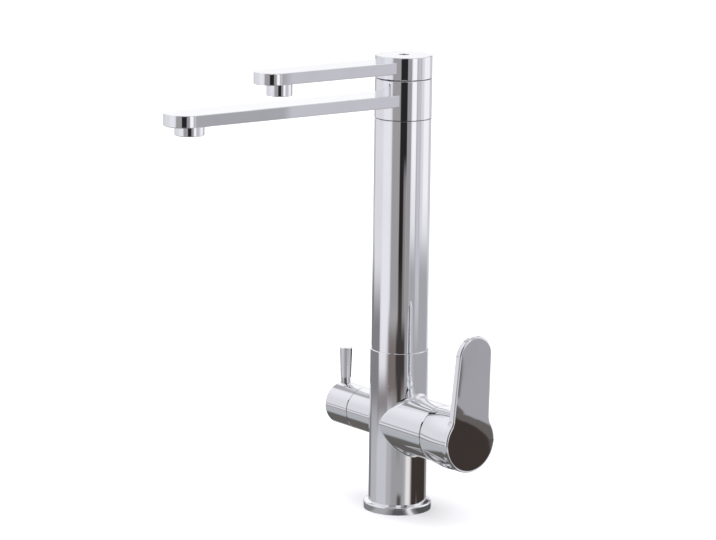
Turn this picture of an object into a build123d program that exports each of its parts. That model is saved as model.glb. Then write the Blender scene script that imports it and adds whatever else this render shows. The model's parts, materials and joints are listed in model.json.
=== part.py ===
from build123d import *
import os
from math import cos, radians, sin, sqrt

# A three way filtered water tap: one column on a base flange, a single lever
# mixer on the right barrel, a filtered water valve on the left barrel, and two
# spouts that swivel one above the other.
# The origin is the centre of the foot on the deck, +Z is up, the spouts point
# along -Y and the mixer barrel along +X. All sizes are in millimetres.

os.makedirs("parts", exist_ok=True)

# ---------------------------------------------------------------- clearances
run_fit = 0.05          # radial play of a turning fit
slide_fit = 0.10        # play of a part that drops into its seat
disc_gap = 0.05         # water film between two ceramic discs
part_gap = 0.30         # play between parts that pass without touching
edge_break = 0.30       # small chamfer on machined edges

# ------------------------------------------------------------ foot and column
body_radius = 23.3
body_bottom = 1.6
body_top = 130.8
spigot_height = 10.0
body_hollow_radius = 18.6
body_hollow_floor = 104.0

flange_overhang = 3.9     # how far the flange stands out past the body
flange_side_top = 5.2
flange_shoulder = 6.6
flange_height = 7.4
flange_inset = 5.5        # how far its bore lies inside the body's side
flange_edge = 1.3
flange_edge_radius = 1.4

seal_inset = 1.8          # from the flange's bore out to the seal
seal_cover = 3.0          # from the seal out to the flange's rim
seal_height = 1.0

tube_step = 0.8           # how much slimmer the tube is than the body
tube_wall = 1.5
tube_end = 316.3

# ---------------------------------------------------- ports under the foot
stud_hole_radius = 3.4          # tapping size of an M8 stud
stud_hole_depth = 16.0
port_radius = 4.6               # tapping size of an M10x1 hose tail
port_depth = 12.0
port_x = 9.0
port_y = 7.5
filter_port_x = -10.5
supply_radius = 2.8
filter_supply_radius = 2.4

# ------------------------------------------------------------------- risers
mixed_riser_x = 7.0
mixed_riser_radius = 6.0
mixed_way_radius = 3.8
filtered_riser_x = -7.0
filtered_riser_radius = 4.0
filtered_way_radius = 2.2
riser_wall = 1.0
riser_socket = 8.0

# -------------------------------------------------------------------- collars
collar_step = 0.15        # how far the collars stand out past the tube
turning_gap = 0.6
glide_thickness = 0.5
glide_inset = 0.65
long_collar_height = 31.1
short_collar_height = 17.6
top_edge_radius = 0.5

lower_shaft_radius = 14.0
upper_shaft_radius = 12.0
head_cover = 3.9        # from the swivel core's end up to the flat top face
plug_length = 16.3
groove_depth = 1.6
mixed_port_radius = 2.6
filtered_port_radius = 1.3
long_oring = 2.0
short_oring = 1.5
gland_ratio = 1.25      # width of a seal's groove over the seal's section

# --------------------------------------------------------------------- spouts
long_arm_rise = 10.6    # from the collar's lower edge up to the arm
long_arm_thickness = 9.4
long_arm_half_width = 15.8
long_arm_tip_centre = 208.1
long_aerator_y = 203.2
long_way_rise = 3.5     # from the arm's underside up to the water way in it
long_way_height = 4.0
long_way_width = 20.0
long_ring_rise = 2.1    # from the arm's underside up to the core's water groove
long_ring_height = 6.4

short_arm_drop = 13.1   # from the top face down to the arm's underside
short_arm_thickness = 9.3
short_arm_half_width = 13.9
short_arm_tip_centre = 127.6
short_aerator_y = 120.1
short_way_height = 3.6
short_way_width = 17.0
short_ring_drop = 5.9   # from the core's end down to its upper water groove
short_ring_height = 3.2

arm_edge_radius = 0.6

# ------------------------------------------------------------------- aerators
long_aerator_radius = 11.5
long_aerator_drop = 7.7
long_socket_depth = 2.8
short_aerator_radius = 10.1
short_aerator_drop = 9.8
short_socket_depth = 2.6
aerator_thread_step = 1.2
aerator_wall = 1.2
aerator_edge_radius = 0.6
aerator_lip = 0.9
aerator_lip_height = 1.0
aerator_seal_height = 0.8
aerator_hole_radius = 0.75
aerator_hole_pitch = 2.4
aerator_rows = 5
aerator_roof_radius = 6.5

# ---------------------------------------------------------------- top screw
recess_radius = 4.0
recess_depth = 2.5
screw_radius = 2.0
screw_head_radius = 3.4
screw_head_height = 1.5
screw_length = 9.0
washer_thickness = 0.3
hex_key = 2.5
hex_depth = 1.0

# --------------------------------------------------------------- mixer barrel
barrel_z = 72.0
mixer_step = 0.4          # how much slimmer the barrel is than the body
mixer_seam = 55.6
seam_gap = 0.6
corner_break = 0.5
mixer_blend = 3.0
mixer_barrel_joint = 28.0
chamber_play = 0.2        # room round the cartridge
chamber_floor = 13.0
mouth_wall = 2.8
mouth_floor = 43.2

pivot_x = 33.0
dome_play = 0.28
dome_wall = 1.6
dome_crown = 2.0
dome_opening_inset = 2.3
dome_slot_radius = 13.8
dome_slot_drop = 6.5

cartridge_seal_height = 0.8
port_seal_wall = 1.2
cartridge_base_height = 3.0
fixed_disc_inset = 3.0    # from the housing's side in to the fixed disc
fixed_disc_height = 3.5
moving_disc_play = 3.0    # room for the moving disc to slide
moving_disc_height = 2.6
disc_rest_offset = -1.35
disc_pocket_width = 17.0
disc_pocket_length = 9.2
disc_pocket_corner = 4.0
disc_pocket_depth = 1.3
disc_port_radius = 2.3
supply_port_y = 7.0
supply_port_z = 4.5
mixed_port_z = -5.0
housing_radius = 17.4
housing_wall = 2.2
housing_end = 43.0
housing_lip = 1.4
mouth_step = 3.6          # from the housing's bore in to its mouth
carrier_play = 2.8
carrier_height = 4.0
carrier_pocket = 2.6
rotor_start = 27.8
rotor_end = 41.4
rotor_slot_width = 8.3
rotor_slot_length = 18.0
pin_radius = 1.5
pin_inset = 2.2           # from the housing's bore in to the pin's ends
nut_end = 52.0
nut_grip = 3.2            # how far the nut reaches over the housing's end
nut_notch = 3.0

spindle_width = 8.0
spindle_root = 30.0
spindle_round_start = 44.0
spindle_round_radius = 4.5
spindle_end = 79.0
spindle_flat_depth = 0.8
spindle_flat_length = 9.6
spindle_neck_radius = 1.6
spindle_ball_radius = 2.5
ball_distance = 7.2

# ---------------------------------------------------------------------- lever
face_x = 91.8
hub_mid_x = 72.0
hub_mid_swell = 1.8       # how far the hub swells past the barrel
paddle_swell = 1.3
paddle_thickness = 5.6
blade_root_half_width = 18.3
blade_root_height = 17.0
blade_tip_radius = 16.0
blade_tip_centre = 69.6
blade_neck_radius = 9.0
blade_lean = 4.6
bend_length = 24.0
face_edge_radius = 1.7
back_edge_radius = 1.0
hub_blade_blend = 2.5
plug_x = 74.5
plug_angle = 32.0
plug_radius = 2.6
plug_height = 2.2
grub_radius = 2.0
grub_gap = 1.5
grub_key = 1.6

# --------------------------------------------------------------- filter valve
filter_radius = 17.3
filter_seam = 46.2
filter_end = 75.7
filter_end_radius = 1.8
filter_blend = 2.5
filter_barrel_joint = 27.0
filter_chamber_wall = 5.3
filter_chamber_floor = 15.0
filter_port_inset = 3.4   # from the filter disc's side in to its ports
filter_seal_height = 1.2
filter_disc_inset = 2.6
filter_disc_height = 3.0
filter_drive_height = 3.6
filter_flange_inset = 0.4
filter_slot_depth = 1.5
filter_key_length = 16.0
filter_key_width = 3.0
filter_key_height = 1.0
filter_oring = 1.4
filter_oring_x = 33.0
filter_shaft_radius = 4.0
filter_shaft_end = 66.0
valve_body_end = 45.0
valve_neck_end = 53.0
valve_neck_inset = 4.0
valve_cavity_depth = 10.5
cap_wall = 4.3
cap_hollow_end = 56.0
glide_ring_inset = 0.6
filter_grub_x = 61.0
filter_grub_radius = 2.0
filter_grub_length = 10.0

pin_lever_x = 70.3
pin_seat_z = 16.6
pin_stud_radius = 2.5
pin_stud_depth = 8.0
pin_neck_radius = 3.85
pin_neck_top = 21.9
pin_foot_radius = 4.3
pin_tip_radius = 5.15
pin_top = 46.6
pin_edge_radius = 0.6

# ------------------------------------------------------------- worked out once
tube_radius = body_radius - tube_step
inner_tube_radius = tube_radius - tube_wall
spigot_radius = inner_tube_radius - slide_fit
flange_radius = body_radius + flange_overhang
flange_bore = body_radius - flange_inset
seal_inner_radius = flange_bore + seal_inset
seal_outer_radius = flange_radius - seal_cover
collar_radius = tube_radius + collar_step
glide_radius = collar_radius - glide_inset
plug_bottom = tube_end - plug_length
long_collar_bottom = tube_end + turning_gap
long_collar_top = long_collar_bottom + long_collar_height
short_collar_bottom = long_collar_top + turning_gap
top_face = short_collar_bottom + short_collar_height
upper_shaft_top = top_face - head_cover
recess_floor = top_face - recess_depth
long_arm_bottom = long_collar_bottom + long_arm_rise
long_arm_top = long_arm_bottom + long_arm_thickness
long_ring_bottom = long_arm_bottom + long_ring_rise
long_way_bottom = long_arm_bottom + long_way_rise
short_arm_bottom = top_face - short_arm_drop
short_arm_top = short_arm_bottom + short_arm_thickness
short_ring_bottom = upper_shaft_top - short_ring_drop
short_way_bottom = short_ring_bottom
mixer_radius = body_radius - mixer_step
mouth_radius = mixer_radius - mouth_wall
dome_opening_radius = mouth_radius - dome_opening_inset
hub_mid_radius = mixer_radius + hub_mid_swell
paddle_radius = mixer_radius + paddle_swell
chamber_span = mixer_seam - pivot_x
corner_reach = sqrt((chamber_span - corner_break / 2) ** 2 + (mixer_radius - corner_break / 2) ** 2)
dome_radius = corner_reach
hub_cavity_radius = corner_reach + dome_play
hub_start = mixer_seam + seam_gap
chamber_radius = housing_radius + chamber_play
housing_bore = housing_radius - housing_wall
housing_mouth_radius = housing_bore - mouth_step
fixed_disc_radius = housing_radius - fixed_disc_inset
moving_disc_radius = housing_bore - moving_disc_play
carrier_radius = housing_bore - carrier_play
pin_length = 2 * (housing_bore - pin_inset)
nut_hole_radius = housing_radius - nut_grip
base_start = chamber_floor + cartridge_seal_height
fixed_disc_start = base_start + cartridge_base_height
moving_disc_start = fixed_disc_start + fixed_disc_height + disc_gap
carrier_start = moving_disc_start + moving_disc_height
ball_x = pivot_x - ball_distance
filter_chamber_radius = filter_radius - filter_chamber_wall
filter_disc_radius = filter_chamber_radius - filter_disc_inset
filter_flange_radius = filter_disc_radius - filter_flange_inset
filter_port_drop = filter_disc_radius - filter_port_inset
filter_outlet_rise = filter_port_drop
valve_neck_radius = filter_chamber_radius - valve_neck_inset
cap_hollow_radius = filter_radius - cap_wall
glide_ring_radius = filter_radius - glide_ring_inset
filter_disc_start = filter_chamber_floor + filter_seal_height
filter_moving_start = filter_disc_start + filter_disc_height + disc_gap
filter_drive_start = filter_moving_start + filter_disc_height

barrel_axis = Axis((0, 0, barrel_z), (1, 0, 0))
upright_plane = Plane.XZ
barrel_profile_plane = Plane(origin=(0, 0, barrel_z), x_dir=(1, 0, 0), z_dir=(0, -1, 0))
pin_side_plane = Plane(origin=(-pin_lever_x, 0, barrel_z), x_dir=(1, 0, 0), z_dir=(0, -1, 0))


def across(x):
    """Plane across the barrels at x: local x is +Y, local y is +Z, normal +X."""
    return Plane(origin=(x, 0, barrel_z), x_dir=(0, 1, 0), z_dir=(1, 0, 0))


def spout_plane(y, z):
    """Level plane with its centre over a spout's aerator."""
    return Plane(origin=(0, -y, z), x_dir=(1, 0, 0), z_dir=(0, 0, 1))


def riser_plane(x, z):
    """Level plane with its centre over a riser or port."""
    return Plane(origin=(x, 0, z), x_dir=(1, 0, 0), z_dir=(0, 0, 1))


def ring(plane, outer, inner, height):
    """Plain ring from a plane along its normal."""
    with BuildPart() as made:
        with BuildSketch(plane):
            Circle(outer)
            Circle(inner, mode=Mode.SUBTRACT)
        extrude(amount=height)
    return made.part


def oring(plane, centre_radius, section):
    """Rubber ring of round section lying in a plane."""
    with BuildPart() as made:
        with BuildSketch(Plane(origin=plane.origin, x_dir=plane.x_dir, z_dir=-plane.y_dir)):
            with Locations((centre_radius, 0)):
                Circle(section / 2)
        revolve(axis=Axis(plane.origin, plane.z_dir))
    return made.part


def pin_plane(height):
    """Level plane on the pin lever's axis at a height above the barrels."""
    return Plane(origin=(-pin_lever_x, 0, barrel_z + height), x_dir=(1, 0, 0), z_dir=(0, 0, 1))


def under_plane(depth):
    """Plane facing down on the filter cap's grub screw, below the barrels' axis."""
    return Plane(origin=(-filter_grub_x, 0, barrel_z - depth), x_dir=(1, 0, 0), z_dir=(0, 0, -1))


def rim_of(faces):
    """Edges round a run of faces, without the lines between those faces."""
    edges = ShapeList()
    for face in faces:
        edges += face.edges()
    return edges.filter_by(lambda edge: sum(edge.is_same(other) for other in edges) == 1)


def save(built, name):
    """Label a finished piece and write its file."""
    built.label = name
    export_step(built, "parts/" + name + ".step")


# ------------------------------------------------------------------ the foot
with BuildPart() as base_flange:
    with BuildSketch(upright_plane):
        with BuildLine():
            Polyline(
                (flange_bore, 0),
                (flange_radius - edge_break, 0),
                (flange_radius, flange_side_top),
            )
            RadiusArc(
                (flange_radius, flange_side_top),
                (flange_radius - flange_edge, flange_shoulder),
                -flange_edge_radius,
            )
            Polyline(
                (flange_radius - flange_edge, flange_shoulder),
                (body_radius + slide_fit, flange_height),
                (body_radius + slide_fit, body_bottom),
                (flange_bore, body_bottom),
                (flange_bore, 0),
            )
        make_face()
    revolve(axis=Axis.Z)
    with BuildSketch(Plane.XY):
        Circle(seal_outer_radius + slide_fit)
        Circle(seal_inner_radius - slide_fit, mode=Mode.SUBTRACT)
    extrude(amount=seal_height, mode=Mode.SUBTRACT)
save(base_flange.part, "base_flange")

with BuildPart() as base_seal:
    with BuildSketch(Plane.XY):
        Circle(seal_outer_radius)
        Circle(seal_inner_radius, mode=Mode.SUBTRACT)
    extrude(amount=seal_height)
save(base_seal.part, "base_seal")

# -------------------------------------------- body casting with both barrels
with BuildPart() as body_casting:
    with BuildSketch(Plane.XY.offset(body_bottom)):
        Circle(body_radius)
    extrude(amount=body_top - body_bottom)
    with BuildSketch(across(0)):
        Circle(mixer_radius)
    extrude(amount=mixer_seam)
    mixer_junction = body_casting.edges().filter_by(GeomType.BSPLINE).filter_by_position(Axis.X, 0, body_radius + 1)
    fillet(mixer_junction, mixer_blend)
    with BuildSketch(across(0)):
        Circle(filter_radius)
    extrude(amount=-filter_seam)
    filter_junction = body_casting.edges().filter_by(GeomType.BSPLINE).filter_by_position(Axis.X, -body_radius - 1, -1)
    fillet(filter_junction, filter_blend)
    chamfer(body_casting.faces().sort_by(Axis.X)[-1].edges(), corner_break)
    chamfer(body_casting.faces().sort_by(Axis.X)[0].edges(), edge_break)
    chamfer(body_casting.faces().sort_by(Axis.Z)[-1].edges(), edge_break)
    with BuildSketch(Plane.XY.offset(body_top)):
        Circle(spigot_radius)
    extrude(amount=spigot_height)
    with BuildSketch(Plane.XY.offset(body_hollow_floor)):
        Circle(body_hollow_radius)
    extrude(amount=body_top + spigot_height - body_hollow_floor, mode=Mode.SUBTRACT)
    # mixer chamber and its wider mouth
    with BuildSketch(across(chamber_floor)):
        Circle(chamber_radius)
    extrude(amount=mixer_seam - chamber_floor, mode=Mode.SUBTRACT)
    with BuildSketch(across(mouth_floor)):
        Circle(mouth_radius)
    extrude(amount=mixer_seam - mouth_floor, mode=Mode.SUBTRACT)
    # filter valve chamber
    with BuildSketch(across(-filter_seam)):
        Circle(filter_chamber_radius)
    extrude(amount=filter_seam - filter_chamber_floor, mode=Mode.SUBTRACT)
    # hose ports, stud hole and the supply ways above them
    with BuildSketch(Plane.XY.offset(body_bottom)):
        with Locations((port_x, port_y), (port_x, -port_y), (filter_port_x, 0)):
            Circle(port_radius)
    extrude(amount=port_depth, mode=Mode.SUBTRACT)
    with BuildSketch(Plane.XY.offset(body_bottom)):
        Circle(stud_hole_radius)
    extrude(amount=stud_hole_depth, mode=Mode.SUBTRACT)
    with BuildSketch(Plane.XY.offset(body_bottom)):
        with Locations((port_x, port_y), (port_x, -port_y)):
            Circle(supply_radius)
    extrude(amount=barrel_z + supply_port_z - body_bottom, mode=Mode.SUBTRACT)
    with BuildSketch(Plane.XY.offset(body_bottom)):
        with Locations((filter_port_x, 0)):
            Circle(filter_supply_radius)
    extrude(amount=barrel_z - filter_port_drop - body_bottom, mode=Mode.SUBTRACT)
    # level ways into the two chamber floors
    with BuildSketch(across(port_x)):
        with Locations((supply_port_y, supply_port_z), (-supply_port_y, supply_port_z)):
            Circle(disc_port_radius)
    extrude(amount=chamber_floor - port_x, mode=Mode.SUBTRACT)
    with BuildSketch(across(mixed_riser_x)):
        with Locations((0, mixed_port_z)):
            Circle(disc_port_radius)
    extrude(amount=chamber_floor - mixed_riser_x, mode=Mode.SUBTRACT)
    with BuildSketch(across(-filter_chamber_floor)):
        with Locations((0, -filter_port_drop)):
            Circle(filtered_way_radius)
    extrude(amount=filter_chamber_floor + filter_port_x, mode=Mode.SUBTRACT)
    with BuildSketch(across(-filter_chamber_floor)):
        with Locations((0, filter_outlet_rise)):
            Circle(filtered_way_radius)
    extrude(amount=filter_chamber_floor + filtered_riser_x, mode=Mode.SUBTRACT)
    # ways up to the risers, and the sockets that the risers stand in
    with BuildSketch(riser_plane(mixed_riser_x, barrel_z + mixed_port_z)):
        Circle(mixed_way_radius)
    extrude(amount=body_hollow_floor - barrel_z - mixed_port_z, mode=Mode.SUBTRACT)
    with BuildSketch(riser_plane(filtered_riser_x, barrel_z + filter_outlet_rise)):
        Circle(filtered_way_radius)
    extrude(amount=body_hollow_floor - barrel_z - filter_outlet_rise, mode=Mode.SUBTRACT)
    with BuildSketch(riser_plane(mixed_riser_x, body_hollow_floor - riser_socket)):
        Circle(mixed_riser_radius + run_fit)
    extrude(amount=riser_socket, mode=Mode.SUBTRACT)
    with BuildSketch(riser_plane(filtered_riser_x, body_hollow_floor - riser_socket)):
        Circle(filtered_riser_radius + run_fit)
    extrude(amount=riser_socket, mode=Mode.SUBTRACT)

# the barrels are turned sleeves, joined to the body flush and polished over
with BuildPart() as mixer_barrel:
    add(body_casting.part)
    split(bisect_by=Plane.YZ.offset(mixer_barrel_joint), keep=Keep.TOP)
save(mixer_barrel.part, "mixer_barrel")

with BuildPart() as filter_barrel:
    add(body_casting.part)
    split(bisect_by=Plane.YZ.offset(-filter_barrel_joint), keep=Keep.BOTTOM)
save(filter_barrel.part, "filter_barrel")

with BuildPart() as main_body:
    add(body_casting.part)
    split(bisect_by=Plane.YZ.offset(mixer_barrel_joint), keep=Keep.BOTTOM)
    split(bisect_by=Plane.YZ.offset(-filter_barrel_joint), keep=Keep.TOP)
save(main_body.part, "main_body")

# --------------------------------------------------------- column and risers
with BuildPart() as column_tube:
    with BuildSketch(Plane.XY.offset(body_top)):
        Circle(tube_radius)
        Circle(inner_tube_radius, mode=Mode.SUBTRACT)
    extrude(amount=tube_end - body_top)
    chamfer(column_tube.edges().group_by(Axis.Z)[0].sort_by(SortBy.RADIUS)[-1], edge_break)
    chamfer(column_tube.edges().group_by(Axis.Z)[-1].sort_by(SortBy.RADIUS)[-1], edge_break)
save(column_tube.part, "column_tube")

riser_foot = body_hollow_floor - riser_socket
riser_length = plug_bottom + riser_socket - riser_foot
mixed_riser = ring(
    riser_plane(mixed_riser_x, riser_foot), mixed_riser_radius, mixed_riser_radius - riser_wall, riser_length
)
save(mixed_riser, "mixed_riser")
filtered_riser = ring(
    riser_plane(filtered_riser_x, riser_foot),
    filtered_riser_radius,
    filtered_riser_radius - riser_wall,
    riser_length,
)
save(filtered_riser, "filtered_riser")

# --------------------------------------------- swivel core inside both collars
long_oring_levels = [
    (long_collar_bottom + long_ring_bottom) / 2,
    (long_ring_bottom + long_ring_height + long_collar_top) / 2,
]
short_oring_levels = [
    (short_collar_bottom + short_ring_bottom) / 2,
    (short_ring_bottom + short_ring_height + upper_shaft_top) / 2,
]
long_groove_floor = lower_shaft_radius + run_fit - long_oring
short_groove_floor = upper_shaft_radius + run_fit - short_oring
long_port_level = long_ring_bottom + long_ring_height / 2
short_port_level = short_ring_bottom + short_ring_height / 2

with BuildPart() as swivel_core:
    with BuildSketch(Plane.XY.offset(plug_bottom)):
        Circle(spigot_radius)
    extrude(amount=tube_end - plug_bottom)
    with BuildSketch(Plane.XY.offset(tube_end)):
        Circle(lower_shaft_radius)
    extrude(amount=long_collar_top + turning_gap / 2 - tube_end)
    with BuildSketch(Plane.XY.offset(long_collar_top)):
        Circle(upper_shaft_radius)
    extrude(amount=upper_shaft_top - long_collar_top)
    # grooves that carry the water round to each spout, wherever it points
    with BuildSketch(Plane.XY.offset(long_ring_bottom)):
        Circle(lower_shaft_radius)
        Circle(lower_shaft_radius - groove_depth, mode=Mode.SUBTRACT)
    extrude(amount=long_ring_height, mode=Mode.SUBTRACT)
    with BuildSketch(Plane.XY.offset(short_ring_bottom)):
        Circle(upper_shaft_radius)
        Circle(upper_shaft_radius - groove_depth, mode=Mode.SUBTRACT)
    extrude(amount=short_ring_height, mode=Mode.SUBTRACT)
    # seal grooves
    for level in long_oring_levels:
        with BuildSketch(Plane.XY.offset(level - long_oring * gland_ratio / 2)):
            Circle(lower_shaft_radius)
            Circle(long_groove_floor, mode=Mode.SUBTRACT)
        extrude(amount=long_oring * gland_ratio, mode=Mode.SUBTRACT)
    for level in short_oring_levels:
        with BuildSketch(Plane.XY.offset(level - short_oring * gland_ratio / 2)):
            Circle(upper_shaft_radius)
            Circle(short_groove_floor, mode=Mode.SUBTRACT)
        extrude(amount=short_oring * gland_ratio, mode=Mode.SUBTRACT)
    # riser sockets, ways up and the cross ports into the grooves
    with BuildSketch(Plane.XY.offset(plug_bottom)):
        with Locations((mixed_riser_x, 0)):
            Circle(mixed_riser_radius + run_fit)
        with Locations((filtered_riser_x, 0)):
            Circle(filtered_riser_radius + run_fit)
    extrude(amount=riser_socket, mode=Mode.SUBTRACT)
    with BuildSketch(riser_plane(mixed_riser_x, plug_bottom)):
        Circle(mixed_way_radius)
    extrude(amount=long_port_level + mixed_way_radius - plug_bottom, mode=Mode.SUBTRACT)
    with BuildSketch(riser_plane(filtered_riser_x, plug_bottom)):
        Circle(filtered_way_radius)
    extrude(amount=short_port_level - plug_bottom, mode=Mode.SUBTRACT)
    with BuildSketch(Plane.YZ.offset(mixed_riser_x)):
        with Locations((0, long_port_level)):
            Circle(mixed_port_radius)
    extrude(amount=lower_shaft_radius - mixed_riser_x, mode=Mode.SUBTRACT)
    with BuildSketch(Plane.YZ.offset(filtered_riser_x)):
        with Locations((0, short_port_level)):
            Circle(filtered_port_radius)
    extrude(amount=-upper_shaft_radius - filtered_riser_x, mode=Mode.SUBTRACT)
    with BuildSketch(Plane.XY.offset(upper_shaft_top)):
        Circle(screw_radius + slide_fit)
    extrude(amount=-screw_length - slide_fit, mode=Mode.SUBTRACT)
save(swivel_core.part, "swivel_core")

long_seals = [oring(Plane.XY.offset(z), long_groove_floor + long_oring / 2, long_oring) for z in long_oring_levels]
save(Compound(children=long_seals), "long_spout_seals")
short_seals = [
    oring(Plane.XY.offset(z), short_groove_floor + short_oring / 2, short_oring) for z in short_oring_levels
]
save(Compound(children=short_seals), "short_spout_seals")

glide_lift = (turning_gap - glide_thickness) / 2
long_glide_washer = ring(
    Plane.XY.offset(tube_end), glide_radius, lower_shaft_radius + part_gap, glide_thickness
)
save(long_glide_washer, "long_glide_washer")
short_glide_washer = ring(
    Plane.XY.offset(long_collar_top + glide_lift), glide_radius, lower_shaft_radius + part_gap, glide_thickness
)
save(short_glide_washer, "short_glide_washer")


# --------------------------------------------------------------- the spouts
def spout(low, high, bore, bore_top, arm_low, arm_high, half_width, tip_centre, way_low, way_high, way_width,
          aerator_y, socket_radius, socket_depth):
    """Collar with its flat arm: a square edged bar with a half round tip, a
    water way inside it and a threaded socket for the aerator under the tip."""
    with BuildPart() as made:
        with BuildSketch(Plane.XY.offset(arm_low)):
            with BuildLine():
                Line((-half_width, 0), (-half_width, -tip_centre))
                ThreePointArc(
                    (-half_width, -tip_centre), (0, -tip_centre - half_width), (half_width, -tip_centre)
                )
                Line((half_width, -tip_centre), (half_width, 0))
                Line((half_width, 0), (-half_width, 0))
            make_face()
        extrude(amount=arm_high - arm_low)
        rims = made.edges().group_by(Axis.Z)
        outline = [e for group in (rims[0], rims[-1]) for e in group if e.center().Y < -edge_break]
        fillet(outline, arm_edge_radius)
        with BuildSketch(Plane.XY.offset(low)):
            Circle(collar_radius)
        extrude(amount=high - low)
        collar_rims = made.edges().filter_by(GeomType.CIRCLE).filter_by(
            lambda e: abs(e.radius - collar_radius) < edge_break and (e.center().Z < low + edge_break)
        )
        chamfer(collar_rims, edge_break)
        upper_rims = made.edges().filter_by(GeomType.CIRCLE).filter_by(
            lambda e: abs(e.radius - collar_radius) < edge_break and (e.center().Z > high - edge_break)
        )
        fillet(upper_rims, top_edge_radius)
        with BuildSketch(Plane.XY.offset(low)):
            Circle(bore + run_fit)
        extrude(amount=bore_top - low, mode=Mode.SUBTRACT)
        with BuildSketch(Plane.XY.offset(way_low)):
            with BuildLine():
                Line((-way_width / 2, 0), (-way_width / 2, -aerator_y))
                ThreePointArc(
                    (-way_width / 2, -aerator_y), (0, -aerator_y - way_width / 2), (way_width / 2, -aerator_y)
                )
                Line((way_width / 2, -aerator_y), (way_width / 2, 0))
                Line((way_width / 2, 0), (-way_width / 2, 0))
            make_face()
        extrude(amount=way_high - way_low, mode=Mode.SUBTRACT)
        with BuildSketch(spout_plane(aerator_y, arm_low)):
            Circle(socket_radius + slide_fit)
        extrude(amount=socket_depth, mode=Mode.SUBTRACT)
        with BuildSketch(spout_plane(aerator_y, arm_low)):
            Circle(aerator_roof_radius)
        extrude(amount=way_low - arm_low, mode=Mode.SUBTRACT)
    return made


long_spout = spout(
    low=long_collar_bottom,
    high=long_collar_top,
    bore=lower_shaft_radius,
    bore_top=long_collar_top,
    arm_low=long_arm_bottom,
    arm_high=long_arm_top,
    half_width=long_arm_half_width,
    tip_centre=long_arm_tip_centre,
    way_low=long_way_bottom,
    way_high=long_way_bottom + long_way_height,
    way_width=long_way_width,
    aerator_y=long_aerator_y,
    socket_radius=long_aerator_radius - aerator_thread_step,
    socket_depth=long_socket_depth,
)
save(long_spout.part, "long_spout")

short_spout_blank = spout(
    low=short_collar_bottom,
    high=top_face,
    bore=upper_shaft_radius,
    bore_top=upper_shaft_top + slide_fit,
    arm_low=short_arm_bottom,
    arm_high=short_arm_top,
    half_width=short_arm_half_width,
    tip_centre=short_arm_tip_centre,
    way_low=short_way_bottom,
    way_high=short_way_bottom + short_way_height,
    way_width=short_way_width,
    aerator_y=short_aerator_y,
    socket_radius=short_aerator_radius - aerator_thread_step,
    socket_depth=short_socket_depth,
)
with BuildPart() as short_spout:
    add(short_spout_blank.part)
    with BuildSketch(Plane.XY.offset(recess_floor)):
        Circle(recess_radius)
    extrude(amount=top_face - recess_floor, mode=Mode.SUBTRACT)
    with BuildSketch(Plane.XY.offset(upper_shaft_top)):
        Circle(screw_radius + part_gap)
    extrude(amount=recess_floor - upper_shaft_top, mode=Mode.SUBTRACT)
save(short_spout.part, "short_spout")

# -------------------------------------------------- screw that holds the stack
retaining_washer = ring(
    Plane.XY.offset(recess_floor + disc_gap), recess_radius - part_gap, screw_radius + slide_fit, washer_thickness
)
save(retaining_washer, "retaining_washer")

head_start = recess_floor + disc_gap + washer_thickness
with BuildPart() as top_screw:
    with BuildSketch(Plane.XY.offset(upper_shaft_top - screw_length)):
        Circle(screw_radius)
    extrude(amount=head_start - upper_shaft_top + screw_length)
    with BuildSketch(Plane.XY.offset(head_start)):
        Circle(screw_head_radius)
    extrude(amount=screw_head_height)
    with BuildSketch(Plane.XY.offset(head_start + screw_head_height)):
        RegularPolygon(hex_key / 2, 6, major_radius=False)
    extrude(amount=-hex_depth, mode=Mode.SUBTRACT)
save(top_screw.part, "top_screw")


# ------------------------------------------------------------------- aerators
def aerator(name, y, arm_low, radius, drop, socket_depth):
    """Chrome housing, its spray insert with a plate of fine holes, and seal."""
    thread_radius = radius - aerator_thread_step
    bore = thread_radius - aerator_wall
    thread_top = arm_low + socket_depth - aerator_seal_height
    with BuildPart() as housing:
        with BuildSketch(spout_plane(y, arm_low - drop)):
            Circle(radius)
        extrude(amount=drop)
        with BuildSketch(spout_plane(y, arm_low)):
            Circle(thread_radius)
        extrude(amount=thread_top - arm_low)
        fillet(housing.edges().group_by(Axis.Z)[0], aerator_edge_radius)
        with BuildSketch(spout_plane(y, arm_low - drop)):
            Circle(bore - aerator_lip)
        extrude(amount=aerator_lip_height, mode=Mode.SUBTRACT)
        with BuildSketch(spout_plane(y, arm_low - drop + aerator_lip_height)):
            Circle(bore)
        extrude(amount=thread_top - arm_low + drop - aerator_lip_height, mode=Mode.SUBTRACT)
    save(housing.part, name + "_aerator_housing")

    insert_bottom = arm_low - drop + aerator_lip_height
    with BuildPart() as insert:
        with BuildSketch(spout_plane(y, insert_bottom)):
            Circle(bore - slide_fit)
            with HexLocations(aerator_hole_pitch / 2, aerator_rows, aerator_rows):
                Circle(aerator_hole_radius, mode=Mode.SUBTRACT)
        extrude(amount=thread_top - insert_bottom)
    save(insert.part, name + "_aerator_insert")

    seal = ring(spout_plane(y, thread_top), thread_radius - slide_fit, aerator_roof_radius, aerator_seal_height)
    save(seal, name + "_aerator_seal")


aerator("long", long_aerator_y, long_arm_bottom, long_aerator_radius, long_aerator_drop, long_socket_depth)
aerator("short", short_aerator_y, short_arm_bottom, short_aerator_radius, short_aerator_drop, short_socket_depth)

# ------------------------------------------------- mixer cartridge, fixed part
disc_ports = [(supply_port_y, supply_port_z), (-supply_port_y, supply_port_z), (0, mixed_port_z)]

port_seals = []
for port_place in disc_ports:
    with BuildPart() as port_seal:
        with BuildSketch(across(chamber_floor)):
            with Locations(port_place):
                Circle(disc_port_radius + port_seal_wall)
                Circle(disc_port_radius, mode=Mode.SUBTRACT)
        extrude(amount=cartridge_seal_height)
    port_seals.append(port_seal.part)
save(Compound(children=port_seals), "cartridge_seals")

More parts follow.
